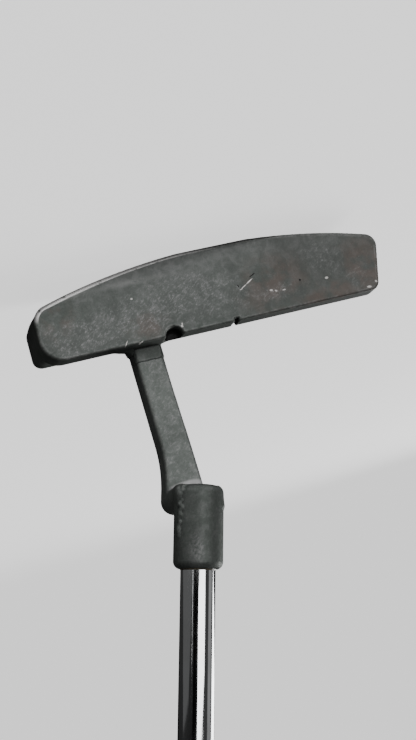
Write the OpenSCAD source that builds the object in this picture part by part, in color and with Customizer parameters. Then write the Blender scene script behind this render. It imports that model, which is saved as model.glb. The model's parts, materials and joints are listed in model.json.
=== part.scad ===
// Right-handed blade putter: heel-toe weighted blade, welded plumber's neck, stepped shaft and pistol grip.
// It stands in its address pose. +Z is up, the ball leaves towards -Y, the toe is at -X and the heel at +X.
// The origin is on the ground, on the sole's flat keel and under the sight mark.

/* [Blade] */
// Height of the top rail above the ground
rail_h = 23.4; // [22:0.2:25]
// From the sight mark to the toe end
toe_l = 48.6; // [46:0.2:54]
// From the sight mark to the heel end
heel_l = 58.2; // [56:0.2:62]
// Depth of the head from its leading edge to its back
head_d = 26; // [25:0.5:29]
// Depth of the top rail from front to back
rail_d = 6.8; // [6:0.1:7.4]
// Angle by which the face leans back
loft = 3; // [1:0.5:5]
// Radius of the sole from heel to toe
sole_r = 190; // [160:5:260]
// Height of the heel and toe blocks behind the rail
block_h = 21; // [19:0.5:21.5]
// Height of the flange behind the face
flange_h = 5.2; // [4.5:0.1:8]
// Thickness of the striking wall in front of the cavity
wall_t = 4.8; // [4:0.1:5.5]

/* [Neck] */
// Angle between the shaft and the ground at address
lie = 73; // [71:0.5:75]
// Width of the neck post from heel to toe
post_w = 8.3; // [7:0.1:9]
// Depth of the neck post from front to back
post_d = 10; // [8:0.5:11]
// Outer diameter of the hosel barrel
hosel_od = 13.4; // [13:0.1:15]
// Length of the hosel barrel
hosel_l = 22.3; // [18:0.1:30]

/* [Shaft and grip] */
// Outer diameter of the shaft's parallel tip
tip_od = 9.4; // [9:0.1:9.6]
// Outer diameter of the shaft's butt
butt_od = 14.7; // [14:0.1:15.4]
// Wall thickness of the shaft tube
tube_t = 0.6; // [0.5:0.1:1.2]
// Number of step-downs between butt and tip
step_n = 7; // [4:1:9]
// Length of the club along the shaft axis, from the ground to the cap
club_l = 864; // [838:1:914]
// Length of the grip
grip_l = 267; // [255:1:270]

/* [Hidden] */
$fn = 72;
far = 200;                                   // longer than the head in any direction

// Blade
front_y = -head_d / 2;                       // leading edge
back_y = head_d / 2;
rail_front_y = front_y + rail_h * tan(loft);
rail_back_y = rail_front_y + rail_d;
keel_sag = 0.3;                              // depth cut from the sole's arc to leave the flat keel
sole_x = 2;                                  // where the sole's arc is lowest
toe_lean = 2.4;                              // how far the toe end leans in at the rail
toe_top_r = 2.3;
toe_sole_r = 3.5;
heel_top_r = 5;
heel_sole_r = 4.5;
heel_draft = 1.4;                            // how far the heel narrows at the face
plan_r = 7;                                  // rear corners, seen from above
edge_r = 1.5;                                // leading and trailing edges of the sole
block_back_y = 6;                            // where a block's level top ends
block_back_h = 9;                            // height of a block at its back
cavity_toe_x = -26;
cavity_heel_x = 17.5;
cavity_r = 3;
lip_h = 4.8;                                 // height of the rail's lip over the cavity
nick_w = 1.3;
nick_h = 1.1;
notch_x = 19;
notch_r = 2.7;
notch_d = 5.2;
groove_w = 1.4;
groove_h = 0.7;
groove_l = 14;
paint_h = 0.4;

// Shaft axis
lean = 90 - lie;
axis_x = 5.3;                                // where the shaft axis meets the ground
axis_y = front_y - tip_od / 2;               // full offset: the shaft's back lines up with the leading edge

// Neck
post_x = 22.4;                               // toe side of the post's foot
post_lean = 0.6;                             // how far the post leans towards the toe on its way up
post_y = rail_back_y - 0.2;                  // front of the post
pad_x = 22;                                  // the pad in line with the rail, which the post stands on
pad_w = 10.6;
weld_w = 2;
weld_h = 4.1;
hosel_s = 69.9;                              // lower end of the barrel, along the axis from the ground
arm_s = 70;
arm_h = 5.7;
arm_heel = hosel_od / 2 + 0.25;              // from the shaft axis to the arm's heel side
arm_toe = hosel_od / 2 - 1.2;                // and to its toe side, inside the barrel at its front
arm_lap = 3.5;                               // how far the arm reaches in front of the shaft axis
bead_r = 0.9;
rim_r = 2;
rim_low_r = 2.3;
hosel_floor = 2.3;                           // solid metal under the bore
glue_t = 0.1;
bore_r = tip_od / 2 + glue_t;

// Shaft
shaft_s = hosel_s + hosel_floor + 0.4;       // tip of the shaft
first_step_s = 300;
step_l = 252 / step_n;
step_cone = 1.5;
step_h = (butt_od - tip_od) / 2 / step_n;
cap_h = 3;
shaft_end_s = club_l - cap_h;
band_s = 560;
band_l = 25;
band_t = 0.15;

// Grip
grip_s = club_l - grip_l;
sleeve_l = grip_l - cap_h;
tape_t = 0.2;
tape_gap = 3;                                // bare shaft under the grip's mouth
grip_rings = 36;
grip_sides = 40;
mouth_r = 9.6;                               // half width at the mouth
widest_r = 13;                               // half width near the butt
flat_r = 9.6;                                // from the axis to the flat front
pistol_r = 17.5;                             // from the axis to the pistol's back
pistol_at = 0.86;                            // where along the grip the pistol stands out most
vent_r = 1.3;

// Points on an arc
function arc(c, r, from, to, n = 8) =
    [for (i = [0:n]) c + r * [cos(from + (to - from) * i / n), sin(from + (to - from) * i / n)]];

// Puts its children on the shaft axis, s millimetres from the ground: +Z along the axis, +X towards the heel
module on_axis(s = 0)
    translate([axis_x + s * sin(lean), axis_y, s * cos(lean)]) rotate([0, lean, 0]) children();

// Draws an XZ outline through the head from y0 to y1
module front_prism(y0, y1) translate([0, y1, 0]) rotate([90, 0, 0]) linear_extrude(y1 - y0) children();

// Draws a YZ outline through the head from x0 to x1
module side_prism(x0, x1) translate([x0, 0, 0]) rotate([90, 0, 90]) linear_extrude(x1 - x0) children();

module box(x0, x1, y0, y1, z0, z1) translate([x0, y0, z0]) cube([x1 - x0, y1 - y0, z1 - z0]);

// The blade seen from the front
module front_outline() polygon(concat(
    arc([toe_lean + toe_top_r - toe_l, rail_h - toe_top_r], toe_top_r, 90, 165),
    arc([toe_sole_r - toe_l, 10.5], toe_sole_r, 165, 255),
    [[toe_sole_r - toe_l, -1], [heel_l - heel_sole_r, -1]],
    arc([heel_l - heel_sole_r, 11.5], heel_sole_r, -75, 0),
    arc([heel_l - heel_top_r, rail_h - heel_top_r], heel_top_r, 0, 90)));

// The blade seen from the heel, with the loft on its front
module side_outline() polygon(concat(
    arc([front_y + edge_r + 0.1, edge_r], edge_r, 270, 180 - loft),
    [[rail_front_y, rail_h], [back_y, rail_h]],
    arc([back_y - 2 * edge_r, 2 * edge_r], 2 * edge_r, 0, -90)));

// The blade seen from above
module plan_outline() polygon(concat(
    [[-toe_l - 1, front_y - 1], [heel_l - heel_draft, front_y - 1], [heel_l, -1]],
    arc([heel_l - plan_r, back_y - plan_r], plan_r, 0, 90),
    arc([plan_r - toe_l, back_y - plan_r], plan_r, 90, 180)));

module sole_roll() translate([sole_x, 0, sole_r - keel_sag]) rotate([90, 0, 0])
    cylinder(h = far, r = sole_r, center = true, $fn = 360);

// The space behind the face, above the flange, with an undercut below the rail's lip
module cavity() {
    cavity_outline(rail_back_y, flange_h, far);
    cavity_outline(rail_back_y - rail_d + wall_t, flange_h, rail_h - lip_h);
}

module cavity_outline(y0, z0, z1) translate([0, 0, z0]) linear_extrude(z1 - z0) polygon(concat(
    [[cavity_heel_x, far], [cavity_toe_x, far]],
    arc([cavity_toe_x + cavity_r, y0 + cavity_r], cavity_r, 180, 270),
    arc([cavity_heel_x - cavity_r, y0 + cavity_r], cavity_r, 270, 360)));

// Everything above the heel and toe blocks, behind the rail
module above_blocks() side_prism(-far, far) polygon([
    [rail_back_y, block_h], [block_back_y, block_h], [back_y + 1, block_back_h],
    [far, block_back_h], [far, far], [rail_back_y, far]]);

module blade_head() color([0.21, 0.21, 0.22]) difference() {
    intersection() {
        front_prism(-far, far) front_outline();
        side_prism(-far, far) side_outline();
        linear_extrude(far) plan_outline();
        sole_roll();
    }
    difference() {
        above_blocks();
        box(pad_x, pad_x + pad_w, -far, post_y + post_d + weld_w + 0.3, 0, far);
    }
    cavity();
    translate([notch_x, rail_front_y + notch_d, rail_h]) rotate([90, 0, 0]) cylinder(h = far, r = notch_r);
    box(-nick_w / 2, nick_w / 2, -far, rail_back_y + 1, rail_h - nick_h, far);
    box(-groove_w / 2, groove_w / 2, groove_y(), groove_y() + groove_l, flange_h - groove_h, far);
}

function groove_y() = back_y - groove_l - 2;

module sight_line_paint() color([0.9, 0.9, 0.87])
    box(-groove_w / 2, groove_w / 2, groove_y(), groove_y() + groove_l,
        flange_h - groove_h, flange_h - groove_h + paint_h);

module post() {
    top_z = arm_s * cos(lean);
    front_prism(post_y, post_y + post_d) polygon([
        [post_x, rail_h], [post_x + post_w, rail_h],
        [post_x + post_w - post_lean, top_z], [post_x - post_lean, top_z]]);
}

module arm() on_axis(arm_s)
    box(-arm_toe, arm_heel, -arm_lap, post_y + post_d - axis_y, 0, arm_h);

// Fills the heel side between the post and the arm, in line with the arm's side
module gusset() {
    side_x = axis_x + arm_heel / cos(lean);          // the arm's heel side, carried down to the ground
    post_heel_x = post_x + post_w - post_lean;
    top_z = arm_s * cos(lean);
    front_prism(post_y, post_y + post_d) polygon([
        [post_heel_x - 1, (post_heel_x - side_x) / tan(lean)],
        [post_heel_x, (post_heel_x - side_x) / tan(lean)],
        [side_x + (top_z - 1) * tan(lean), top_z - 1],
        [post_heel_x - 1, top_z - 1]]);
}

module neck() color([0.23, 0.23, 0.24]) difference() {
    union() {
        post();
        gusset();
        arm();
    }
    on_axis(hosel_s - 1) cylinder(h = hosel_l, d = hosel_od);
}

// The weld around the post's foot, ground to a fillet
module neck_weld() color([0.27, 0.27, 0.27]) difference() {
    hull() {
        box(post_x - weld_w, post_x + post_w + weld_w, post_y - weld_w, post_y + post_d + weld_w,
            rail_h, rail_h + 0.4);
        box(post_x - 0.3, post_x + post_w + 0.3, post_y - 0.3, post_y + post_d + 0.3,
            rail_h + weld_h - 0.1, rail_h + weld_h);
    }
    post();
}

module hosel_barrel() color([0.2, 0.2, 0.21]) on_axis(hosel_s) difference() {
    r = hosel_od / 2;
    rotate_extrude() polygon(concat(
        [[0, hosel_l], [0, 0]],
        arc([r - rim_low_r, rim_low_r], rim_low_r, -90, 0),
        arc([r - rim_r, hosel_l - rim_r], rim_r, 0, 90)));
    translate([0, 0, hosel_floor]) cylinder(h = hosel_l, r = bore_r);
}

// Two beads in the corners between arm and barrel: by the arm's front at the heel, by its side at the toe
module hosel_weld() color([0.26, 0.26, 0.26]) difference() {
    on_axis(arm_s + 0.4) for (at = [[arm_heel - 0.2, -arm_lap - 0.3], [-arm_toe - 0.3, arm_lap + 0.8]])
        translate(at) cylinder(h = arm_h + 5, r = bead_r, $fn = 24);
    on_axis(hosel_s - 1) cylinder(h = hosel_l + 2, d = hosel_od);
    arm();
}

// The glue line in the hosel, with its ring at the mouth
module hosel_epoxy() color([0.55, 0.5, 0.3]) on_axis(hosel_s + hosel_floor) difference() {
    union() {
        cylinder(h = hosel_l - hosel_floor, r = bore_r);
        translate([0, 0, hosel_l - hosel_floor]) cylinder(h = 0.3, r1 = bore_r + 0.2, r2 = bore_r - 0.05);
    }
    translate([0, 0, shaft_s - hosel_s - hosel_floor]) cylinder(h = far, d = tip_od);
}

// Radius of the shaft just below and just above each step
function steps(inset) = [for (i = [0:step_n - 1])
    let (s = first_step_s - shaft_s + i * step_l, r = tip_od / 2 - inset + i * step_h)
    each [[r, s], [r + step_h, s + step_cone]]];

function reversed(list) = [for (i = [len(list) - 1:-1:0]) list[i]];

module shaft() color([0.8, 0.81, 0.82]) on_axis(shaft_s) {
    top = shaft_end_s - shaft_s;
    rotate_extrude() polygon(concat(
        [[tip_od / 2, 0]], steps(0), [[butt_od / 2, top], [butt_od / 2 - tube_t, top]],
        reversed(steps(tube_t)), [[tip_od / 2 - tube_t, 0]]));
}

module tube(outer, inner, h) difference() {
    cylinder(h = h, d = outer);
    translate([0, 0, -1]) cylinder(h = h + 2, d = inner);
}

module shaft_band() color([0.1, 0.1, 0.11]) on_axis(band_s) tube(butt_od + 2 * band_t, butt_od, band_l);

module grip_tape() color([0.85, 0.8, 0.66]) on_axis(grip_s + tape_gap)
    tube(butt_od + 2 * tape_t, butt_od, sleeve_l - tape_gap);

// Half width, and reach towards the golfer, of the grip at t from its mouth (0) to its butt (1)
function grip_half(t) = mouth_r + (widest_r - mouth_r) * pow(sin(min(t, 0.9) * 100), 1.2);
function grip_reach(t) = mouth_r + 1.6 * t + (pistol_r - mouth_r - 1.6) * exp(-pow((t - pistol_at) / 0.2, 2));

// One cross-section: a flat front towards the toe, a round back towards the heel
function grip_section(t) = [for (i = [0:grip_sides - 1])
    let (a = 360 * i / grip_sides, side = sin(a), out = cos(a))
    [out < 0 ? -flat_r * pow(-out, 0.45) : grip_reach(t) * out,
     grip_half(t) * sign(side) * pow(abs(side), 0.85)]];

module grip_body() {
    rings = [for (k = [0:grip_rings]) let (t = k / grip_rings)
        for (p = grip_section(t)) [p[0], p[1], t * sleeve_l]];
    sides = [for (k = [0:grip_rings - 1], i = [0:grip_sides - 1])
        let (j = (i + 1) % grip_sides, a = k * grip_sides, b = a + grip_sides)
        each [[a + i, b + i, b + j], [a + i, b + j, a + j]]];
    last = grip_rings * grip_sides;
    polyhedron(rings, concat(sides, [[for (i = [0:grip_sides - 1]) i]],
        [[for (i = [grip_sides - 1:-1:0]) last + i]]));
}

module grip_sleeve() color([0.07, 0.07, 0.075]) on_axis(grip_s) difference() {
    grip_body();
    translate([0, 0, -1]) cylinder(h = far * 2, d = butt_od + 0.05);
    translate([0, 0, tape_gap]) cylinder(h = far * 2, d = butt_od + 2 * tape_t);
}

module grip_cap() color([0.1, 0.1, 0.105]) on_axis(shaft_end_s) difference() {
    linear_extrude(cap_h) polygon(grip_section(1));
    translate([0, 0, -1]) cylinder(h = cap_h + 2, r = vent_r);
}

blade_head();
sight_line_paint();
neck();
neck_weld();
hosel_barrel();
hosel_weld();
hosel_epoxy();
shaft();
shaft_band();
grip_tape();
grip_sleeve();
grip_cap();
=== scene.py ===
"""Looks of the blade putter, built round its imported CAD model.
Lengths are in millimetres, but for the camera's distance and the stage, which are in metres."""

import json
import math
import random

import bpy
import numpy as np
import openvdb
from mathutils import Matrix, Vector


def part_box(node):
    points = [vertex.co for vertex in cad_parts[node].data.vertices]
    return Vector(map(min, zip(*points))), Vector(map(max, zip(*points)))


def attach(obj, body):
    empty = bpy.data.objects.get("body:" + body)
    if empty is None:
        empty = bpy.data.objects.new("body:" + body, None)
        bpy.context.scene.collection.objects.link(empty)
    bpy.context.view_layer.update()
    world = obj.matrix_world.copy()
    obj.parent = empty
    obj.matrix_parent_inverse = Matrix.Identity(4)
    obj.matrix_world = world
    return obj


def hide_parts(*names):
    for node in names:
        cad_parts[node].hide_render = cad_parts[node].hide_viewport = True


MM = 0.001
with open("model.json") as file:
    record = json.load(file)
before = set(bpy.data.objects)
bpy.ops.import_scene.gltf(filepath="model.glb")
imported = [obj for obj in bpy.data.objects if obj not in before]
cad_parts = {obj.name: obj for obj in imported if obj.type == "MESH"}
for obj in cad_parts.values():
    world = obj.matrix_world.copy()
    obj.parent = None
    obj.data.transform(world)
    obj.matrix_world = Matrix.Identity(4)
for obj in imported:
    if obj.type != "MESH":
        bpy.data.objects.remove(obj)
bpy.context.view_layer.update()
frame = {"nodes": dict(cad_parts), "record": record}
MOUNTS = {m["name"]: m for m in frame["record"]["mounts"]}


# ---------------------------------------------------------------- places, all read from the frame

def box_mm(node):
    """Lowest and highest corners of a CAD node, in millimetres."""
    lo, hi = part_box(node)
    return np.array(lo) / MM, np.array(hi) / MM


def vertices_mm(node):
    return np.array([v.co for v in frame["nodes"][node].data.vertices]) / MM


AXIS = np.array(MOUNTS["hand_grip"]["axis"])                  # up the shaft
GRIP_AT = np.array(MOUNTS["hand_grip"]["pos_m"]) / MM
FOOT = GRIP_AT - AXIS * (GRIP_AT[2] / AXIS[2])                # where the shaft axis meets the ground
ACROSS = np.array([AXIS[2], 0.0, -AXIS[0]])                   # square to the shaft, towards the heel


def span(node):
    """Where a node starts and ends along the shaft axis, from the ground."""
    s = (vertices_mm(node) - FOOT) @ AXIS
    return s.min(), s.max()


def radius(node):
    """How far a node reaches from the shaft axis."""
    away = vertices_mm(node) - FOOT
    return np.linalg.norm(away - np.outer(away @ AXIS, AXIS), axis=1).max()


HEAD_LO, HEAD_HI = box_mm("blade_head")
RAIL_H = HEAD_HI[2]
LOFT = math.asin(MOUNTS["striking_face"]["axis"][2])
BARREL_S = span("hosel_barrel")
BARREL_R = radius("hosel_barrel")
SHAFT_S = span("shaft")


# ---------------------------------------------------------------- camera

def make_camera():
    """Stands in front of the face on the heel's side, turned so that the grip points down the picture."""
    azimuth, elevation, roll = math.radians(15.1), math.radians(9.9), math.radians(163.8)
    aim = Vector((11.4, -7.0, RAIL_H + 11.1)) * MM
    distance = 0.3115
    back = Vector((math.sin(azimuth) * math.cos(elevation), -math.cos(azimuth) * math.cos(elevation),
                   math.sin(elevation)))
    data = bpy.data.cameras.new("camera")
    data.lens = 52.5
    data.sensor_width = 36
    data.clip_start = 0.01
    cam = bpy.data.objects.new("camera", data)
    bpy.context.scene.collection.objects.link(cam)
    cam.rotation_mode = "QUATERNION"
    cam.location = aim + back * distance
    turn = Matrix.Rotation(roll, 3, back)
    cam.rotation_quaternion = (turn @ (-back).to_track_quat("-Z", "Y").to_matrix()).to_quaternion()
    bpy.context.scene.camera = cam


make_camera()


# ---------------------------------------------------------------- distance fields

def round_max(a, b, r):
    """Where both solids are, with a convex edge of radius r."""
    return np.minimum(np.maximum(a, b), -r) + np.hypot(np.maximum(a + r, 0), np.maximum(b + r, 0))


def round_min(a, b, r):
    """Both solids together, with a concave fillet of radius r."""
    return -round_max(-a, -b, r)


def soft_max(a, b, r):
    """Where both solids are, with their flat meeting eased by r at most, whatever the angle."""
    return np.maximum(a, b) + np.maximum(4 * r - np.abs(a - b), 0) ** 2 / (16 * r)


def cut(a, b, r):
    """The first solid less the second, with an edge of radius r."""
    return round_max(a, -b, r)


def slab(value, lo, hi):
    return np.maximum(lo - value, value - hi)


def block(x, y, z, lo, hi, r):
    """A box with all its edges rounded to r."""
    d = [slab(v, a + r, b - r) for v, a, b in zip((x, y, z), lo, hi)]
    outside = np.sqrt(sum(np.maximum(v, 0) ** 2 for v in d))
    return outside + np.minimum(np.maximum(np.maximum(d[0], d[1]), d[2]), 0) - r


def ease(value, start, end):
    """0 before start, 1 after end, smooth between."""
    t = np.clip((value - start) / (end - start), 0, 1)
    return t * t * (3 - 2 * t)


def shaft_frame(x, y, z):
    """A point's place across the shaft towards the heel, across it away from the face, and up it."""
    u = (x - FOOT[0]) * ACROSS[0] + z * ACROSS[2]
    return u, y - FOOT[1], (x - FOOT[0]) * AXIS[0] + z * AXIS[2]


# ---------------------------------------------------------------- meshes

def mesh_piece(name, points, faces, sharp=0):
    """A mesh object from points in millimetres, smooth but for edges that turn more than sharp degrees."""
    mesh = bpy.data.meshes.new(name)
    mesh.from_pydata((np.asarray(points) * MM).tolist(), [], faces)
    mesh.validate()
    mesh.shade_smooth()
    if sharp:
        mesh.set_sharp_from_angle(angle=math.radians(sharp))
    piece = bpy.data.objects.new(name, mesh)
    bpy.context.scene.collection.objects.link(piece)
    return piece


def sample(values, at):
    """Values of a grid at fractional grid points."""
    i = np.clip(np.floor(at).astype(int), 0, np.array(values.shape) - 2)
    t = at - i
    total = 0
    for corner in np.ndindex(2, 2, 2):
        weight = np.prod(np.where(corner, t, 1 - t), axis=1)
        total = total + weight * values[tuple((i + corner).T)]
    return total


def skin(name, field, lo, hi, voxel):
    """A mesh on the zero surface of field(x, y, z) in a box. Its attribute bend is the surface's curvature:
    positive along worn edges, negative in corners."""
    lo, hi = np.asarray(lo, float), np.asarray(hi, float)
    count = np.ceil((hi - lo) / voxel).astype(int) + 1
    x, y, z = np.ogrid[0:count[0], 0:count[1], 0:count[2]]
    values = np.broadcast_to(field(lo[0] + x * voxel, lo[1] + y * voxel, lo[2] + z * voxel), count)
    values = np.ascontiguousarray(values, dtype=np.float32)
    grid = openvdb.FloatGrid()
    grid.copyFromArray(values)
    at, triangles, quads = grid.convertToPolygons(isovalue=0, adaptivity=0)
    faces = [f[::-1] for f in quads.tolist()] + [f[::-1] for f in triangles.tolist()]
    piece = mesh_piece(name, lo + at * voxel, faces)
    bend = np.zeros_like(values)
    inner = (slice(1, -1),) * 3
    for k in range(3):
        bend[inner] += (np.roll(values, 1, k) + np.roll(values, -1, k) - 2 * values)[inner]
    attribute = piece.data.attributes.new("bend", "FLOAT", "POINT")
    attribute.data.foreach_set("value", (sample(bend, at) / voxel ** 2).astype(np.float32))
    return piece


def sweep(name, rings, closed=True):
    """A tube through rings of points, with its ends filled."""
    rings = np.asarray(rings)
    n, m = rings.shape[:2]
    faces = []
    for k in range(n - 1):
        for i in range(m):
            j = (i + 1) % m
            faces.append((k * m + i, k * m + j, (k + 1) * m + j, (k + 1) * m + i))
    if closed:
        faces += [tuple(range(m))[::-1], tuple(range((n - 1) * m, n * m))]
    return mesh_piece(name, rings.reshape(-1, 3), faces, 40)


def lathe(name, outline, segments=96, closed=False):
    """Turns (radius, place along the shaft) points about the shaft axis."""
    angle = np.linspace(0, 2 * np.pi, segments, endpoint=False)
    side = np.outer(np.cos(angle), ACROSS) + np.outer(np.sin(angle), [0.0, 1.0, 0.0])
    return sweep(name, [FOOT + AXIS * s + side * r for r, s in outline], closed)


def finish_piece(piece, node, material):
    """Puts a piece in its CAD node's place."""
    piece.data.materials.append(material)
    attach(piece, "root")
    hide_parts(node)


# ---------------------------------------------------------------- blade

TOE_X, HEEL_X = HEAD_LO[0], HEAD_HI[0]
FRONT_Y, BACK_Y = -13.0, HEAD_HI[1]
RAIL_D = 6.8
RAIL_FRONT_Y = FRONT_Y + RAIL_H * math.tan(LOFT)
RAIL_BACK_Y = RAIL_FRONT_Y + RAIL_D
SOLE_R, SOLE_X, KEEL_SAG = 190.0, 2.0, 0.3
BLOCK_H, FLANGE_H = 21.0, 5.2
CAVITY_TOE_X, CAVITY_HEEL_X = -26.0, 17.5
WALL_T, LIP_H = 4.8, 4.8
TOE_COS, TOE_SIN, TOE_TURN_Z = 0.972, 0.235, 11.4             # the toe end leans in above this height
HEEL_DRAFT, HEEL_IN = math.radians(6.6), 1.4                  # the heel end narrows this much at the face
PLAN_R = 7
NOTCH_X, NOTCH_R, NOTCH_D = 19.0, 2.7, 5.2
NICK_W, NICK_H = 1.3, 1.1
PAD_X, PAD_WING = (22.0, 31.3), 3.8                           # under the post, and its heel fillet
WELD_OUT = 2.0                                                # how far the weld reaches from the post
WELD_LO, WELD_HI = box_mm("neck_weld")
PAINT_LO, PAINT_HI = box_mm("sight_line_paint")
POST_LO, POST_HI = WELD_LO + WELD_OUT, WELD_HI - WELD_OUT


def blade_shell(x, y, z):
    """The blade's outside, before the cavity is cut."""
    face = (FRONT_Y - y) * math.cos(LOFT) + z * math.sin(LOFT)
    toe = (TOE_X - x) * TOE_COS + (z - TOE_TURN_Z) * TOE_SIN
    drafted = (x - HEEL_X + HEEL_IN) * math.cos(HEEL_DRAFT) - (y - FRONT_Y) * math.sin(HEEL_DRAFT)
    heel = soft_max(x - HEEL_X, drafted, 0.3)
    underside = np.maximum(np.hypot(x - SOLE_X, z - SOLE_R + KEEL_SAG) - SOLE_R, -z)
    walls = round_max(round_max(toe, y - BACK_Y, PLAN_R), heel, PLAN_R)
    at_heel = ease(x, -10, 10)
    shell = round_max(walls, z - RAIL_H, 2.3 + at_heel * (3.8 + 0.8 * ease(-y, 1, 10)))
    shell = round_max(shell, underside, 3.5 + at_heel * (ease(-y, 0, 10) - 1))
    sole_edge = ease(-z, -13, -6) * (0.3 + 0.3 * ease(x, 0, 25))
    return round_max(shell, face, 0.45 + sole_edge + 0.4 * ease(np.abs(x - 5), 40, 52))


def over_blocks(x, y, z):
    """The open space above the heel and toe blocks."""
    slope = (y - 6) * 0.832 + (z - BLOCK_H) * 0.555
    return round_max(RAIL_BACK_Y - y, -soft_max(z - BLOCK_H, slope, 0.8), 1.6)


def cavity(x, y, z):
    """The open space behind the striking wall, undercut below the rail's lip."""
    ends = slab(x, CAVITY_TOE_X, CAVITY_HEEL_X)
    under_lip = RAIL_BACK_Y - RAIL_D + WALL_T
    above = round_max(round_max(ends, RAIL_BACK_Y - y, 3), FLANGE_H - z, 2.2)
    undercut = round_max(round_max(ends, under_lip - y, 3), FLANGE_H - z, 2.2)
    return np.minimum(above, round_max(undercut, z - RAIL_H + LIP_H, 2))


def blade(x, y, z):
    body = cut(blade_shell(x, y, z), over_blocks(x, y, z), 1.0)
    foot = round_max(slab(x, *PAD_X), y - POST_HI[1] - 0.6, 1.5)
    wing = round_max(slab(x, PAD_X[0], PAD_X[1] + PAD_WING), y - RAIL_BACK_Y - 2.4, 2.3)
    pad = np.maximum(np.minimum(foot, wing), np.maximum(RAIL_FRONT_Y + 2 - y, 8 - z))
    body = round_max(round_min(body, pad, 2.2), z - RAIL_H, 0.5)
    body = round_max(body, (FRONT_Y - y) * math.cos(LOFT) + z * math.sin(LOFT), 0.4)
    body = cut(body, cavity(x, y, z), 0.8)
    notch = round_max(np.hypot(x - NOTCH_X, z - RAIL_H) - NOTCH_R, y - RAIL_FRONT_Y - NOTCH_D, 1.5)
    body = cut(body, notch, 0.25)
    nick = np.maximum(np.abs(x) - NICK_W / 2, np.maximum(RAIL_H - NICK_H - z, y - RAIL_BACK_Y - 2))
    body = cut(body, nick, 0.12)
    groove = np.maximum(slab(x, PAINT_LO[0], PAINT_HI[0]), slab(y, PAINT_LO[1], PAINT_HI[1]))
    return cut(body, np.maximum(groove, PAINT_LO[2] - z), 0.1)


# ---------------------------------------------------------------- neck, barrel and welds

ARM_S, ARM_H, ARM_LAP = 70.0, 5.7, 3.5
ARM_HEEL, ARM_TOE = BARREL_R + 0.25, BARREL_R - 1.2
POST_EDGE_R = 1.1
POST_LEAN = 0.6                                               # towards the toe, over the post's height
POST_FLARE = 0.4                                              # how much wider its toe side is at the arm
BORE_R, BORE_FLOOR = 4.8, 2.3


def soft_min(a, b, r):
    """Both solids together, with their flat meeting eased by r at most, whatever the angle."""
    return -soft_max(-a, -b, r)


def neck_solid(x, y, z):
    """The post, gusset and arm: heel, toe and front sides drawn one by one, then brought together."""
    u, v, s = shaft_frame(x, y, z)
    lean_x = x + POST_LEAN * (z - RAIL_H) / (ARM_S * AXIS[2] - RAIL_H)
    heel = soft_min(lean_x - POST_HI[0], u - ARM_HEEL, 0.5)
    toe_flare = POST_FLARE * ease(z, RAIL_H + 8, 60)
    toe = round_min(POST_LO[0] - toe_flare - lean_x, round_max(-ARM_TOE - u, ARM_S - s, 1.5), 1.2)
    front = round_min(POST_LO[1] - y, round_max(-ARM_LAP - v, ARM_S - s, 1.5), 2.4)
    side = round_max(heel, s - ARM_S - ARM_H, 3.8)
    body = round_max(round_max(side, toe, 0.5), round_max(front, y - POST_HI[1], 1.2), POST_EDGE_R)
    return np.maximum(body, RAIL_H - 4 - z)


def barrel_solid(x, y, z):
    u, v, s = shaft_frame(x, y, z)
    side = np.hypot(u, v) - BARREL_R
    return round_max(round_max(side, s - BARREL_S[1], 2.0), BARREL_S[0] - s, 2.3)


def barrel(x, y, z):
    u, v, s = shaft_frame(x, y, z)
    bore = np.maximum(np.hypot(u, v) - BORE_R, BARREL_S[0] + BORE_FLOOR - s)
    return cut(barrel_solid(x, y, z), bore, 0.25)


def neck(x, y, z):
    u, v, s = shaft_frame(x, y, z)
    return np.maximum(neck_solid(x, y, z), BARREL_R - 0.4 - np.hypot(u, v))


# A weld's skin dips WELD_SINK under the pieces that it joins, and so shows only between them
WELD_SINK = 0.05
WELD_R, WELD_HEEL_R = 0.8, 2.7
LEDGE = 0.3                                                   # the ground weld's step on the post
BEADS, BEAD_PITCH = 15, 0.95


def neck_weld(x, y, z):
    """The fillet round the post's foot, widest at the heel in front, with a ledge where it ends."""
    radius = WELD_R + WELD_HEEL_R * ease(x, POST_HI[0] - 0.8, POST_HI[0] + 0.8) * ease(-y, 2.2, 3.2)
    joined = round_min(blade(x, y, z), neck_solid(x, y, z), radius)
    edge = WELD_HI[2] + 0.09 * np.sin(2.1 * x)
    ledge = round_max(neck_solid(x, y, z) - LEDGE, z - edge, 0.5)
    joined = np.minimum(joined, np.maximum(ledge, y - POST_LO[1] - 2))
    near = block(x, y, z, WELD_LO - (1, 1, 1.5), WELD_HI + (3, 1, 1.5), 0.5)
    return np.maximum(joined + WELD_SINK, near)


def hosel_weld(x, y, z):
    """The fillet between arm and barrel, with a row of beads down its heel side."""
    u, v, s = shaft_frame(x, y, z)
    joined = round_min(neck_solid(x, y, z), barrel_solid(x, y, z), 1.3)
    rng = random.Random(4)
    for k in range(BEADS):
        place = ARM_S + 0.6 + BEAD_PITCH * k
        size = rng.uniform(0.4, 0.95)
        angle = math.radians(rng.uniform(52, 62) + (6 if k > 7 else 0))
        out = BARREL_R + rng.uniform(-0.6, -0.25)
        across, ahead = u - out * math.sin(angle), v + out * math.cos(angle)
        bead = np.sqrt(across ** 2 + ahead ** 2 + (s - place) ** 2) - size
        joined = round_min(joined, bead, 0.5)
    away = np.hypot(u, v)
    near = round_max(away - BARREL_R - 2.2, slab(s, ARM_S - 1.5, ARM_S + 15), 0.5)
    return np.maximum(np.maximum(joined + WELD_SINK, near), BORE_R + 0.6 - away)


# ---------------------------------------------------------------- shaft, band and glue

TUBE_T, TIP_BORE_R = 0.6, 3.9
TUBE_LINING = 20                                              # length of bore drawn at the butt
STEP_EASE = 0.15
BAND_T, TAPE_T = 0.15, 0.2


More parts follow.
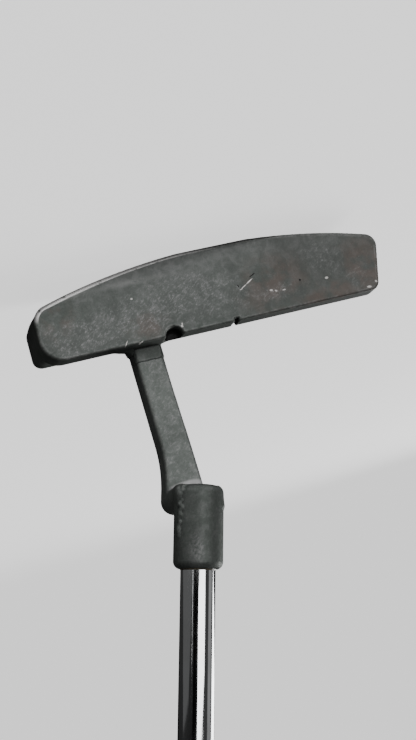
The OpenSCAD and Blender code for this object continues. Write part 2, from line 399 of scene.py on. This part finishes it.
def steps():
    """(radius, place) down the outside of the shaft, read from the CAD tube's own corners."""
    away = vertices_mm("shaft") - FOOT
    s = away @ AXIS
    r = np.linalg.norm(away - np.outer(s, AXIS), axis=1)
    places = sorted(set(np.round(s, 2)))
    return [(r[np.abs(s - p) < 0.02].max(), p) for p in places]


def round_corner(r, s, bevel, up):
    """Points round an outside corner of a turned piece, at its upper or lower end."""
    way = 1 if up else -1
    turn = [math.radians(a) for a in range(0, 91, 15)]
    points = [(r - bevel + bevel * math.cos(a), s + way * (bevel * math.sin(a) - bevel)) for a in turn]
    return points[::way]


def make_shaft():
    outside = steps()
    soft = []
    for k, (r, s) in enumerate(outside):
        at_end = k in (0, len(outside) - 1)
        soft += [(r, s)] if at_end else [(r, s - STEP_EASE), (r, s), (r, s + STEP_EASE)]
    low, high = SHAFT_S
    butt_bore_r = outside[-1][0] - TUBE_T
    bore = [(butt_bore_r, high), (butt_bore_r, high - TUBE_LINING)]
    return lathe("shaft_tube", [(TIP_BORE_R, low)] + soft + bore)


def make_band():
    low, high = span("shaft_band")
    r = radius("shaft_band")
    inner = r - BAND_T
    outside = round_corner(r, low, 0.1, False) + round_corner(r, high, 0.1, True)
    return lathe("band_wrap", [(inner, low)] + outside + [(inner, high)])


def make_glue():
    low, high = span("hosel_epoxy")
    ring = [(SHAFT_TIP_R - 0.05, high - 0.6), (BORE_R + 0.1, high - 0.45), (BORE_R + 0.02, high - 0.25),
            (SHAFT_TIP_R + 0.08, high - 0.05), (SHAFT_TIP_R - 0.05, high + 0.05)]
    return lathe("glue_ring", ring)


SHAFT_TIP_R = steps()[0][0]


# ---------------------------------------------------------------- grip

GRIP_S = span("grip_sleeve")
CAP_S = span("grip_cap")
FLAT_R, MOUTH_R, WIDEST_R = 9.6, 9.6, 13.0
PISTOL_R, PISTOL_AT, PISTOL_SPAN = 17.5, 0.86, 0.2
BACK_TAPER = 1.6
RIB_PITCH, GROOVE_PITCH = 2.6, 5.2
GRIP_SIDES, RING_PITCH = 144, 0.52


def grip_half(t):
    """Half width of the grip at t from its mouth (0) to its butt (1)."""
    return MOUTH_R + (WIDEST_R - MOUTH_R) * math.sin(math.radians(min(t, 0.9) * 100)) ** 1.2


def grip_reach(t):
    """How far the grip's back reaches towards the golfer."""
    pistol = math.exp(-((t - PISTOL_AT) / PISTOL_SPAN) ** 2)
    return MOUTH_R + BACK_TAPER * t + (PISTOL_R - MOUTH_R - BACK_TAPER) * pistol


def grip_point(t, angle, s, sink):
    """A point on the grip, sunk below its smooth surface."""
    side, out = math.sin(angle), math.cos(angle)
    u = -FLAT_R * (-out) ** 0.45 if out < 0 else grip_reach(t) * out
    v = grip_half(t) * math.copysign(abs(side) ** 0.85, side)
    shrink = 1 - sink / math.hypot(u, v)
    return FOOT + AXIS * s + ACROSS * u * shrink + np.array([0, v * shrink, 0])


def grip_pattern(t, angle, s):
    """Depth of the moulded pattern: fine ribs across the flat front, slanting grooves round the rest."""
    edge = min(ease(t, 0.03, 0.05), 1 - ease(t, 0.955, 0.97))
    front = ease(-math.cos(angle), 0.35, 0.5)
    back = ease(math.cos(angle), -0.25, -0.1)
    ribs = 0.28 * max(0, math.cos(2 * math.pi * s / RIB_PITCH)) ** 0.6
    from_back = abs(math.atan2(math.sin(angle), math.cos(angle)))
    slant = 0.32 * max(0, math.cos(2 * math.pi * s / GROOVE_PITCH + 5 * from_back)) ** 3
    rail = 0.45 * math.exp(-((math.cos(angle) + 0.3) / 0.035) ** 2)
    return edge * (front * ribs + back * slant + rail)


def make_grip():
    low, high = GRIP_S
    rings = []
    mouth = [(0, 0.9), (0.25, 0.35), (0.7, 0.08)]
    places = [(low + d, sink) for d, sink in mouth] + [(s, 0) for s in np.arange(low + 1.2, high, RING_PITCH)]
    angles = np.linspace(0, 2 * np.pi, GRIP_SIDES, endpoint=False)
    for s, sink in places + [(high, 0)]:
        t = (s - low) / (high - low)
        rings.append([grip_point(t, a, s, sink + grip_pattern(t, a, s)) for a in angles])
    return sweep("grip_rubber", rings)


def make_cap():
    """The cap: its rim, then rings inwards over the top, with a round groove and the vent."""
    low, high = CAP_S
    angles = np.linspace(0, 2 * np.pi, GRIP_SIDES, endpoint=False)
    rim = ((low, 0.35), (low + 0.25, 0.1), (low + 0.5, 0),
           (high - 1.4, 0), (high - 0.7, 0.25), (high - 0.25, 0.8), (high, 1.8))
    rings = [[grip_point(1, a, s, sink) for a in angles] for s, sink in rim]
    top = ((9, 0), (8.6, 0.35), (6.2, 0.35), (5.8, 0), (2.2, 0), (1.7, 0.15), (1.3, 0.5), (1.3, 2.2))
    for r, drop in top:
        middle = FOOT + AXIS * (high - drop)
        rings.append([middle + ACROSS * r * math.cos(a) + np.array([0, r * math.sin(a), 0]) for a in angles])
    return sweep("grip_end_cap", rings)


def make_tape():
    low, high = span("grip_tape")
    r = radius("grip_tape")
    return lathe("tape_sleeve", [(r - TAPE_T, low), (r, low + 0.02), (r, high - 0.02), (r - TAPE_T, high)])


PAINT_SAG = 0.12


def make_paint():
    """The paint in the sight groove, drawn down a little in its middle."""
    lo, hi = PAINT_LO, PAINT_HI
    rows = []
    for y in np.linspace(lo[1], hi[1], 29):
        across = np.linspace(lo[0], hi[0], 9)
        sag = [PAINT_SAG * (1 - ((x - lo[0]) / (hi[0] - lo[0]) * 2 - 1) ** 4) for x in across]
        rows.append([(x, y, hi[2] - d) for x, d in zip(across, sag)] + [(x, y, lo[2]) for x in across[::-1]])
    return sweep("sight_line", rows)


# ---------------------------------------------------------------- material graphs

class Graph:
    """A material's node tree, with one short call for each node."""

    def __init__(self, name):
        self.material = bpy.data.materials.new(name)
        self.material.use_nodes = True
        self.tree = self.material.node_tree
        self.surface = self.tree.nodes["Principled BSDF"]
        self.place = self.add("ShaderNodeTexCoord").outputs["Object"]

    def add(self, kind, inputs=(), **settings):
        node = self.tree.nodes.new(kind)
        for key, value in settings.items():
            setattr(node, key, value)
        for key, value in dict(inputs).items():
            self.put(node.inputs[key], value)
        return node

    def put(self, socket, value):
        if isinstance(value, bpy.types.NodeSocket):
            self.tree.links.new(value, socket)
        else:
            socket.default_value = value

    def set(self, **values):
        """Sets the surface's inputs: Base_Color=..., Roughness=..."""
        for key, value in values.items():
            self.put(self.surface.inputs[key.replace("_", " ")], value)

    def stretched(self, scale, turn=(0, 0, 0)):
        """The place, turned and then drawn out by scale along each axis."""
        node = self.add("ShaderNodeMapping", {"Vector": self.place, "Scale": scale, "Rotation": turn},
                        vector_type="TEXTURE")
        return node.outputs["Vector"]

    def noise(self, size_mm, detail=3, rough=0.5, vector=None, warp=0):
        """Noise with features of about size_mm."""
        node = self.add("ShaderNodeTexNoise", {"Vector": vector or self.place, "Scale": 1 / (size_mm * MM),
                                               "Detail": detail, "Roughness": rough, "Distortion": warp})
        return node.outputs["Fac"]

    def band(self, value, low, high, out=(0, 1)):
        """Brings value between low and high to the range out, smoothly."""
        node = self.add("ShaderNodeMapRange", {0: value, 1: low, 2: high, 3: out[0], 4: out[1]},
                        interpolation_type="SMOOTHSTEP")
        return node.outputs[0]

    def math(self, operation, a, b=0.5):
        return self.add("ShaderNodeMath", {0: a, 1: b}, operation=operation).outputs[0]

    def vector(self, operation, a, b=(0, 0, 0), scale=1.0, out="Vector"):
        node = self.add("ShaderNodeVectorMath", {0: a, 1: b, 3: scale}, operation=operation)
        return node.outputs[out]

    def separate(self, vector):
        return self.add("ShaderNodeSeparateXYZ", {0: vector}).outputs

    def inside(self, at, size, fade):
        """1 inside an ellipsoid at a place, both in millimetres, fading out over a share of its size."""
        local = self.add("ShaderNodeMapping", {"Vector": self.place, "Location": Vector(at) * MM,
                                               "Scale": Vector(size) * MM}, vector_type="TEXTURE")
        return self.band(self.vector("LENGTH", local.outputs["Vector"], out="Value"), fade[1], fade[0])

    def mix(self, amount, a, b):
        node = self.add("ShaderNodeMix", {0: amount, 6: a, 7: b}, data_type="RGBA")
        return node.outputs[2]

    def bump(self, height, depth_mm, normal=None):
        inputs = {"Height": height, "Distance": depth_mm * MM}
        if normal:
            inputs["Normal"] = normal
        return self.add("ShaderNodeBump", inputs).outputs["Normal"]


def grey(value, warm=0.0):
    return (value * (1 + warm), value, value * (1 - warm), 1)


def tint(value):
    """The steel's faintly green black."""
    return (value * 0.94, value * 1.06, value * 0.97, 1)


# Marks on the striking face, in millimetres: x and z of the middle, half length, half width, and the slope
SCRATCHES = ((-4.6, 13.9, 1.0, 0.16, -29), (-6.6, 12.75, 1.2, 0.2, -29), (-3.6, 14.5, 0.5, 0.14, -10),
             (33.4, 22.7, 1.0, 0.14, -58), (29.2, 23.2, 0.8, 0.13, -22))
FLECKS = ((-12.4, 16.7, 0.45, 0.28, 10), (-13.8, 17.2, 0.35, 0.2, 30), (-16.3, 17.4, 0.5, 0.16, 0),
          (28.6, 10.4, 0.32, 0.26, 0), (16.4, 21.2, 0.35, 0.3, 40), (16.2, 20.6, 0.2, 0.3, 0),
          (-30.2, 16.7, 0.5, 0.35, 0), (-42.6, 22.2, 0.7, 0.3, 10), (-45.2, 21.0, 0.4, 0.3, 50))
PITS = ((-8.0, 11.1, 1.0, 0.14, -25), (-21.9, 15.6, 0.32, 0.3, 0), (-3.0, 13.4, 0.5, 0.12, 60))
RUBBED = ((12, 13, 15, 7, 10), (44, 18, 13, 4.5, 5), (50, 21, 7, 2, 40), (-42, 21.3, 6, 2.4, 8),
          (-31, 10, 6, 5, 30), (-39, 18, 4, 3, 0), (-14, 17.4, 6, 2, 0), (30, 16, 12, 6, 0))
BROWN = ((-43, 17, 7, 9, 0), (-30, 21, 12, 3.5, 0), (-14, 16, 9, 8, 0),
         (50.5, 11, 3.6, 5.5, 10), (26, 19, 5, 3, 0))

# Places on the head: the middle, and half of the size along each axis
# painted shade inside the notch and the nick
PAINTED_SHADE_HOLES = (((NOTCH_X, -8.1, RAIL_H), (2.9, 3.7, 2.9)), ((0, -8.0, RAIL_H), (0.9, 4.1, 1.6)))
BARREL_WEAR = ((32.3, -24.2, 83.2), (2.6, 3.5, 4.6))
# painted highlight on the concave fillet under the arm
ARM_FILLET_HIGHLIGHT = ((25.8, -6.6, 65.4), (7, 3, 2.2))


MARK_DEPTH = 1.5


def face_marks(g, marks, soft, ragged_mm):
    """1 inside any of the marks on the face, fading out over the share soft of their size."""
    ragged = g.add("ShaderNodeTexNoise", {"Vector": g.place, "Scale": 1 / (1.1 * MM), "Detail": 4})
    wobble = g.vector("SUBTRACT", ragged.outputs["Color"], (0.5, 0.5, 0.5))
    place = g.vector("ADD", g.place, g.vector("SCALE", wobble, scale=ragged_mm * 2 * MM))
    total = 0.0
    for x, z, length, width, slope in marks:
        at = (x * MM, (FRONT_Y + z * math.tan(LOFT)) * MM, z * MM)
        size = (length * MM, MARK_DEPTH * MM, width * MM)
        local = g.add("ShaderNodeMapping", {"Vector": place, "Location": at, "Scale": size,
                                            "Rotation": (0, math.radians(slope), 0)}, vector_type="TEXTURE")
        away = g.vector("LENGTH", local.outputs["Vector"], out="Value")
        total = g.math("MAXIMUM", total, g.band(away, 1 + soft, 1 - soft))
    return total


def black_steel(name, painted_brightness=1.0, rub=0.0):
    """Blackened steel, worn: mottled, rubbed and brown in patches, scratched, bright along its edges. Painted
    light and shade as well: the brightness argument makes each copy lighter or darker, the face is painted
    lighter towards the sole and darker towards the toe, the notch, the nick and the concave corners get
    painted shade, the fillet under the arm gets a painted highlight, and the sole's front edge at the heel
    gets a painted highlight over its wear.
    """
    g = Graph(name)
    bend = g.add("ShaderNodeAttribute", attribute_name="bend").outputs["Fac"]
    z = g.separate(g.place)["Z"]
    x = g.separate(g.place)["X"]

    cloud = g.noise(16, 3, 0.55, warp=0.4)
    mottle = g.noise(3.2, 5, 0.62, warp=0.6)
    grain = g.noise(0.55, 3, 0.6)
    flecks = g.noise(0.62, 5, 0.75, g.stretched((1.9, 1, 1), (0, math.radians(-35), 0)), 0.3)

    rubbed = g.math("MULTIPLY", face_marks(g, RUBBED, 0.6, 1.5), g.band(x, -32 * MM, 0, (0.4, 1)))
    scratches = face_marks(g, SCRATCHES, 0.35, 0.12)
    spots = face_marks(g, FLECKS, 0.35, 0.12)
    pits = face_marks(g, PITS, 0.35, 0.12)
    brown = g.math("MULTIPLY", face_marks(g, BROWN, 0.75, 2), g.band(g.noise(5, 4), 0.35, 0.6))

    base = g.mix(g.band(cloud, 0.3, 0.7), tint(0.085 * painted_brightness), tint(0.112 * painted_brightness))
    base = g.mix(g.band(mottle, 0.42, 0.72, (0, 0.32)), base, grey(0.17 * painted_brightness))
    base = g.mix(g.band(grain, 0.3, 0.62, (0.25, 0)), base, grey(0.05 * painted_brightness))
    # painted shade: the blade darker towards the toe
    base = g.mix(g.band(x, 6 * MM, -26 * MM, (0, 0.38)), base, grey(0.055, 0.02))
    # painted light: the face lighter towards the sole, most towards the heel, with the mottle showing through
    sole_painted_light = g.math("MULTIPLY", g.band(z, 12 * MM, 2 * MM), g.band(x, -30 * MM, 10 * MM, (0.1, 0.4)))
    sole_painted_light = g.math("MULTIPLY", sole_painted_light, g.band(mottle, 0.3, 0.62, (0.55, 1)))
    base = g.mix(sole_painted_light, base, grey(0.23 * painted_brightness))
    base = g.mix(g.math("MULTIPLY", brown, 0.5), base, (0.135 * painted_brightness, 0.1 * painted_brightness, 0.088 * painted_brightness, 1))

    far_flecks = g.band(flecks, 0.6, 0.78, (0, 0.4))
    rubbed = g.math("MAXIMUM", rubbed, rub)
    near_flecks = g.math("MULTIPLY", g.band(flecks, 0.47, 0.68), rubbed)
    near_flecks = g.math("MULTIPLY", near_flecks, g.band(mottle, 0.36, 0.62, (0.3, 0.85)))
    base = g.mix(g.math("MULTIPLY", rubbed, 0.2), base, grey(0.17 * painted_brightness))
    base = g.mix(g.math("MAXIMUM", far_flecks, near_flecks), base, grey(0.27 * painted_brightness))

    # edges: worn bright, most of all along the sole's front edge at the heel, where a painted highlight is
    # laid over the wear
    low = g.math("MULTIPLY", g.band(z, 12 * MM, 9 * MM), g.band(x, -6 * MM, 26 * MM))
    keen = g.math("ADD", g.math("MULTIPLY", low, 0.94), 0.06)
    ragged = g.noise(2.2, 5, 0.65)
    sharp = g.band(g.math("ADD", bend, g.math("MULTIPLY", low, 0.05)), 0.42, 0.75)
    edge = g.math("MULTIPLY", sharp, g.band(g.math("ADD", ragged, g.math("MULTIPLY", low, 0.16)), 0.4, 0.6))
    edge = g.math("MULTIPLY", edge, keen)
    # partly wear and partly a painted highlight: edges lightened, almost only along the sole's front edge at
    # the heel
    base = g.mix(edge, base, grey(0.72, 0.01))
    base = g.mix(g.math("MAXIMUM", scratches, g.math("MULTIPLY", spots, 0.7)), base, grey(0.62, 0.03))
    # painted highlight: the concave fillet under the arm made bright
    base = g.mix(g.inside(*ARM_FILLET_HIGHLIGHT, (0.75, 1.1)), base, grey(0.34))
    worn = g.math("MULTIPLY", g.inside(*BARREL_WEAR, (0.3, 1.15)), g.band(flecks, 0.42, 0.62, (0.05, 0.6)))
    base = g.mix(worn, base, grey(0.2))
    base = g.mix(pits, base, grey(0.02))
    # painted shade: the notch and the nick darkened inside
    for at, size in PAINTED_SHADE_HOLES:
        base = g.mix(g.inside(at, size, (0.9, 1.03)), base, grey(0.014))
    # painted shade: concave corners darkened
    base = g.mix(g.band(bend, -0.5, -1.2, (0, 0.6)), base, grey(0.02))

    rough = g.math("ADD", g.band(mottle, 0.3, 0.7, (0.56, 0.46)), g.math("MULTIPLY", edge, -0.1))
    g.set(Base_Color=base, Metallic=0.6, Roughness=rough, Specular_IOR_Level=0.2, Specular_Tint=grey(0.45))
    height = g.math("ADD", g.math("MULTIPLY", grain, 0.5), mottle)
    height = g.math("ADD", height, g.math("MULTIPLY", flecks, 0.35))
    height = g.math("SUBTRACT", height, g.math("MULTIPLY", g.math("MAXIMUM", pits, scratches), 1.2))
    g.set(Normal=g.bump(height, 0.07))
    return g.material


LEAN = math.atan2(AXIS[0], AXIS[2])


def along_shaft(g, scale=(1, 1, 1)):
    """The place in axes that lean with the shaft, Z along it, drawn out by scale."""
    return g.stretched(scale, (0, LEAN, 0))


def chrome():
    """Chrome plate on drawn tube: faint lines along it, smudges and small pits."""
    g = Graph("chrome")
    lines = g.noise(0.5, 3, 0.6, along_shaft(g, (1, 1, 90)))
    ripple = g.noise(5, 2, 0.5, along_shaft(g, (1, 1, 5)))
    smudge = g.noise(22, 4, 0.6, warp=0.8)
    pits = g.band(g.noise(0.8, 2, 0.5), 0.74, 0.8)
    base = g.mix(g.band(smudge, 0.35, 0.7), (0.66, 0.67, 0.68, 1), (0.56, 0.57, 0.57, 1))
    base = g.mix(pits, base, grey(0.2))
    rough = g.math("ADD", g.band(smudge, 0.4, 0.7, (0.07, 0.15)), g.math("MULTIPLY", pits, 0.3))
    g.set(Base_Color=base, Metallic=1.0, Roughness=rough)
    coarse = g.bump(ripple, 0.012)
    g.set(Normal=g.bump(g.math("SUBTRACT", lines, pits), 0.004, normal=coarse))
    return g.material


def rubber():
    """Black grip rubber: fine moulded grain, a little dust in the low places and shine where hands rub it."""
    g = Graph("rubber")
    grain = g.noise(0.35, 3, 0.6)
    cloud = g.noise(14, 4, 0.6)
    base = g.mix(g.band(cloud, 0.35, 0.7), grey(0.022), grey(0.034))
    base = g.mix(g.band(grain, 0.55, 0.75, (0, 0.5)), base, grey(0.06, 0.02))
    g.set(Base_Color=base, Roughness=g.band(cloud, 0.3, 0.7, (0.72, 0.55)), Specular_IOR_Level=0.45)
    g.set(Normal=g.bump(grain, 0.06))
    return g.material


def band_film(low, high):
    """Glossy black film with two silver pinstripes at each end, and fine scratches round it."""
    g = Graph("band_film")
    foot = g.vector("SUBTRACT", g.place, tuple(FOOT * MM))
    s = g.vector("DOT_PRODUCT", foot, tuple(AXIS), out="Value")
    stripes = 0.0
    for place, half in ((low + 1.5, 0.35), (low + 2.9, 0.15), (high - 1.5, 0.35), (high - 2.9, 0.15)):
        away = g.math("ABSOLUTE", g.math("SUBTRACT", s, place * MM))
        stripes = g.math("MAXIMUM", stripes, g.band(away, (half + 0.04) * MM, (half - 0.04) * MM))
    rub = g.noise(0.5, 3, 0.6, along_shaft(g, (25, 25, 1)))
    base = g.mix(g.band(rub, 0.6, 0.75, (0, 0.5)), grey(0.012), grey(0.05))
    g.set(Base_Color=g.mix(stripes, base, grey(0.62)), Metallic=g.math("MULTIPLY", stripes, 0.9),
          Roughness=g.band(rub, 0.4, 0.7, (0.16, 0.34)), Normal=g.bump(rub, 0.006))
    return g.material


def grain_material(name, dark, light, size_mm, rough, depth_mm):
    """A plain stuff with a grain: from dark to light over features of size_mm."""
    g = Graph(name)
    grain = g.noise(size_mm, 5, 0.65, warp=0.5)
    g.set(Base_Color=g.mix(g.band(grain, 0.35, 0.65), dark, light), Roughness=rough)
    g.set(Normal=g.bump(grain, depth_mm))
    return g.material


def sight_paint():
    """Off-white paint, dirty along its sides and chipped here and there down to the steel."""
    g = Graph("sight_paint")
    x = g.separate(g.place)["X"]
    side = g.band(g.math("ABSOLUTE", x), 0.35 * MM, 0.7 * MM)
    chip = g.math("ADD", g.noise(1.2, 4, 0.65), g.math("MULTIPLY", side, 0.12))
    dirt = g.noise(0.6, 4, 0.6)
    base = g.mix(g.band(dirt, 0.4, 0.7, (0, 0.6)), (0.74, 0.72, 0.66, 1), (0.42, 0.4, 0.35, 1))
    base = g.mix(g.band(chip, 0.64, 0.68), base, grey(0.06))
    g.set(Base_Color=base, Roughness=0.6, Normal=g.bump(g.math("SUBTRACT", 1.0, chip), 0.08))
    return g.material


# ---------------------------------------------------------------- the pieces

def make_head(steel, neck_steel, barrel_steel, weld):
    """The head's pieces, each a skin on its own field, in a box with some room round the CAD node."""
    neck_lo, neck_hi = box_mm("neck")
    neck_lo[2] -= 2                                           # the post's foot, inside the weld
    barrel_lo, barrel_hi = box_mm("hosel_barrel")
    bead_lo, bead_hi = box_mm("hosel_weld")
    pieces = (
        ("blade_steel", blade, HEAD_LO, HEAD_HI, 2, 0.35, "blade_head", "head_black", steel),
        ("neck_steel", neck, neck_lo, neck_hi, 2, 0.3, "neck", "head_black", neck_steel),
        ("barrel_steel", barrel, barrel_lo, barrel_hi, 2, 0.25, "hosel_barrel", "head_black", barrel_steel),
        ("neck_weld_fillet", neck_weld, WELD_LO, WELD_HI, 4, 0.22, "neck_weld", "weld_black", weld),
        ("hosel_weld_beads", hosel_weld, bead_lo, bead_hi, 4, 0.2, "hosel_weld", "weld_black", weld))
    for name, field, lo, hi, room, voxel, node, slot, material in pieces:
        finish_piece(skin(name, field, lo - room, hi + room, voxel), node, material)


# painted light and shade: each copy of the steel is made lighter or darker by its second argument
make_head(black_steel("blade_black", 0.9), black_steel("neck_black", 1.22, 0.45),
          black_steel("barrel_black", 0.8, 0.2), black_steel("weld_black", 0.9, 0.2))
grip = rubber()
finish_piece(make_shaft(), "shaft", chrome())
finish_piece(make_band(), "shaft_band", band_film(*span("shaft_band")))
finish_piece(make_glue(), "hosel_epoxy",
             grain_material("epoxy", (0.035, 0.03, 0.022, 1), (0.09, 0.075, 0.05, 1), 0.8, 0.3, 0.05))
finish_piece(make_grip(), "grip_sleeve", grip)
finish_piece(make_cap(), "grip_cap", grip)
finish_piece(make_tape(), "grip_tape",
             grain_material("tape", (0.5, 0.45, 0.33, 1), (0.66, 0.61, 0.48, 1), 0.6, 0.85, 0.04))
finish_piece(make_paint(), "sight_line_paint", sight_paint())


# ---------------------------------------------------------------- stage and light

def camera_only(tree, shown, other):
    """Mixes two shaders: one that the camera sees, and one that lights and is reflected."""
    ray = tree.nodes.new("ShaderNodeLightPath")
    choose = tree.nodes.new("ShaderNodeMixShader")
    tree.links.new(ray.outputs["Is Camera Ray"], choose.inputs[0])
    tree.links.new(other, choose.inputs[1])
    tree.links.new(shown, choose.inputs[2])
    return choose.outputs[0]


CARD_Z, FLAG_Z = 0.0006, 0.0003                               # just above the floor, the cards highest


def make_floor(size_m, pale, shown, lit):
    """A wide plain floor, as bright as pale to the camera, and dimmer where it lights and is reflected."""
    mesh = bpy.data.meshes.new("floor")
    corners = [(-size_m, -size_m, 0), (size_m, -size_m, 0), (size_m, size_m, 0), (-size_m, size_m, 0)]
    mesh.from_pydata(corners, [], [(0, 1, 2, 3)])
    floor = bpy.data.objects.new("floor", mesh)
    bpy.context.scene.collection.objects.link(floor)
    material = bpy.data.materials.new("floor")
    material.use_nodes = True
    tree = material.node_tree
    tree.nodes.remove(tree.nodes["Principled BSDF"])
    matt = tree.nodes.new("ShaderNodeBsdfDiffuse")
    matt.inputs["Color"].default_value = grey(shown)
    dim = tree.nodes.new("ShaderNodeBsdfDiffuse")
    dim.inputs["Color"].default_value = grey(lit)
    glow = tree.nodes.new("ShaderNodeEmission")
    glow.inputs["Strength"].default_value = pale
    both = tree.nodes.new("ShaderNodeAddShader")
    tree.links.new(matt.outputs[0], both.inputs[0])
    tree.links.new(glow.outputs[0], both.inputs[1])
    surface = camera_only(tree, both.outputs[0], dim.outputs[0])
    tree.links.new(surface, tree.nodes["Material Output"].inputs["Surface"])
    mesh.materials.append(material)


def make_light(name, azimuth, elevation, distance, size, power, aim):
    """An area light, seen from the object at that azimuth (0 is in front of the face) and elevation."""
    a, e = math.radians(azimuth), math.radians(elevation)
    back = Vector((math.sin(a) * math.cos(e), -math.cos(a) * math.cos(e), math.sin(e)))
    data = bpy.data.lights.new(name, "AREA")
    data.shape = "RECTANGLE"
    data.size, data.size_y = size
    data.energy = power
    light = bpy.data.objects.new(name, data)
    light.location = Vector(aim) + back * distance
    light.rotation_mode = "QUATERNION"
    light.rotation_quaternion = (-back).to_track_quat("-Z", "Y")
    light.visible_camera = False
    bpy.context.scene.collection.objects.link(light)


def make_world(seen, lit):
    """Pale behind the object, and dimmer where it lights and reflects."""
    world = bpy.data.worlds.new("studio")
    world.use_nodes = True
    tree = world.node_tree
    shown = tree.nodes["Background"]
    shown.inputs["Color"].default_value = grey(1)
    shown.inputs["Strength"].default_value = seen
    lighting = tree.nodes.new("ShaderNodeBackground")
    lighting.inputs["Color"].default_value = grey(1)
    lighting.inputs["Strength"].default_value = lit
    surface = camera_only(tree, shown.outputs[0], lighting.outputs[0])
    tree.links.new(surface, tree.nodes["World Output"].inputs["Surface"])
    bpy.context.scene.world = world


def make_card(name, azimuth, near, far, width, bright):
    """Bright ground that only lights and reflects: a card lying from near to far at that azimuth."""
    a = math.radians(azimuth)
    data = bpy.data.lights.new(name, "AREA")
    data.shape = "RECTANGLE"
    data.size, data.size_y = width, far - near
    data.energy = bright * math.pi * width * (far - near)
    card = bpy.data.objects.new(name, data)
    middle = (near + far) / 2
    card.location = (middle * math.sin(a), -middle * math.cos(a), CARD_Z)
    card.rotation_mode = "XYZ"
    card.rotation_euler = (math.pi, 0, a)
    card.visible_camera = False
    bpy.context.scene.collection.objects.link(card)


def matt_black():
    """Takes in all light."""
    g = Graph("flag")
    g.set(Base_Color=grey(0.004), Roughness=1.0, Specular_IOR_Level=0.0)
    return g.material


def make_flag(start, end):
    """A black flag in front, on the floor and standing, which only reflections see."""
    points = []
    for r, z in ((0.1, FLAG_Z), (0.9, FLAG_Z), (0.9, 0.9)):
        for a in (start, end):
            points.append((r * math.sin(math.radians(a)), -r * math.cos(math.radians(a)), z))
    mesh = bpy.data.meshes.new("flag")
    mesh.from_pydata(points, [], [(0, 1, 3, 2), (2, 3, 5, 4)])
    mesh.materials.append(matt_black())
    flag = bpy.data.objects.new("flag", mesh)
    flag.visible_camera = False
    flag.visible_shadow = False
    flag.visible_diffuse = False
    bpy.context.scene.collection.objects.link(flag)


make_floor(40, 1.12, 0.5, 0.1)
make_light("key", -14, 7, 1.1, (0.9, 0.34), 4.4, (0.02, -0.01, 0.06))
make_light("rear", 234, 24, 1.5, (1.1, 0.8), 19, (0.08, -0.01, 0.2))
make_light("top", 0, 90, 1.7, (0.9, 0.9), 1.2, (0.1, -0.01, 0.06))
make_light("toe_side", -78, 18, 1.2, (0.6, 0.6), 0.3, (0.02, -0.01, 0.1))
make_card("front_card", -9, 0.016, 0.75, 0.5, 1.15)
make_card("thin_card", 43, 0.05, 0.65, 0.014, 1.5)
make_card("heel_card", 78, 0.1, 0.6, 0.4, 0.09)
make_flag(6, 33.5)
make_world(1.15, 0.06)
